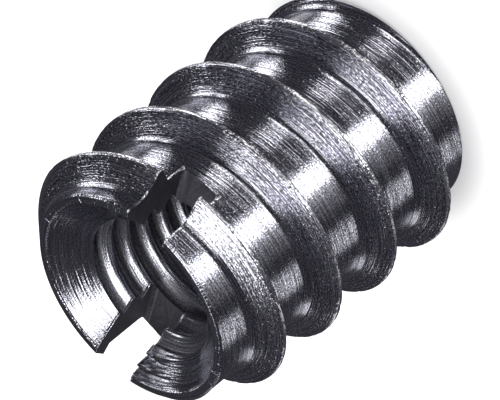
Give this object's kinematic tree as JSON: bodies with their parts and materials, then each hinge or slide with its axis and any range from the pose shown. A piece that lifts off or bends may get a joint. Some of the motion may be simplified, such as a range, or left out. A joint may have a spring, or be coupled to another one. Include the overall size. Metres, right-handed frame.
{
  "type": "threaded insert",
  "caption": "Slotted screw-in insert: coarse wood thread outside, machine-thread bore right through, countersunk mouth and a screwdriver slot across it.",
  "frame": {"origin": "on the axis, at the centre of the leading end face that the part stands on", "axes": "+Z along the axis, from the leading end to the slotted mouth; the screwdriver slot runs along Y"},
  "size_m": [0.014, 0.014, 0.0176],
  "materials": {
    "steel": "bright turned steel with fine circumferential tool marks"
  },
  "bodies": {
    "root": {"insert_body": "steel"}
  },
  "joints": []
}
